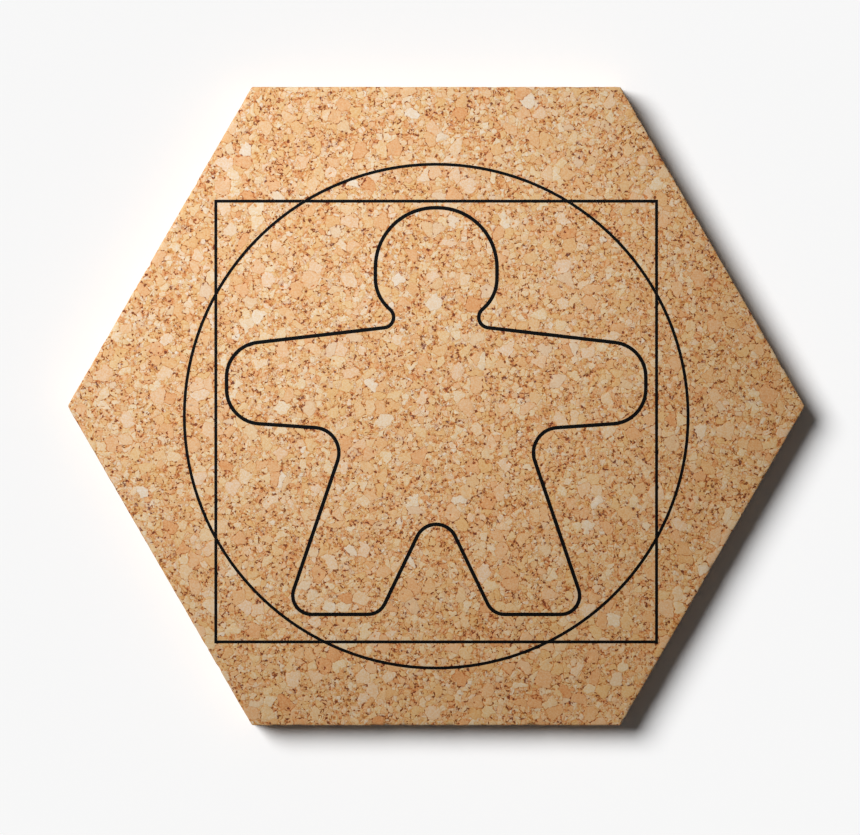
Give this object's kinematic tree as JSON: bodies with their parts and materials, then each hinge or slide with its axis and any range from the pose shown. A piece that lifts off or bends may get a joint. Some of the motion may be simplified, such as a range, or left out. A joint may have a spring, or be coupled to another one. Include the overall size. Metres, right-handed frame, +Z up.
{
  "type": "hexagonal cork coaster",
  "caption": "Flat hexagonal tile of pressed cork granules, printed with a thin black circle, square and plain figure outline, for standing a cup or game pieces on.",
  "frame": {"origin": "middle of the underside, on the surface that the tile lies on", "axes": "+X through a corner of the hexagon, +Y towards the figure's head, +Z up out of the printed face"},
  "size_m": [0.1098, 0.0952, 0.005],
  "materials": {
    "cork": "sanded pressed cork granules, matte",
    "ink": "black screen ink, matte"
  },
  "bodies": {
    "root": {"cork_tile": "cork", "circle_line": "ink", "square_line": "ink", "figure_line": "ink"}
  },
  "joints": []
}
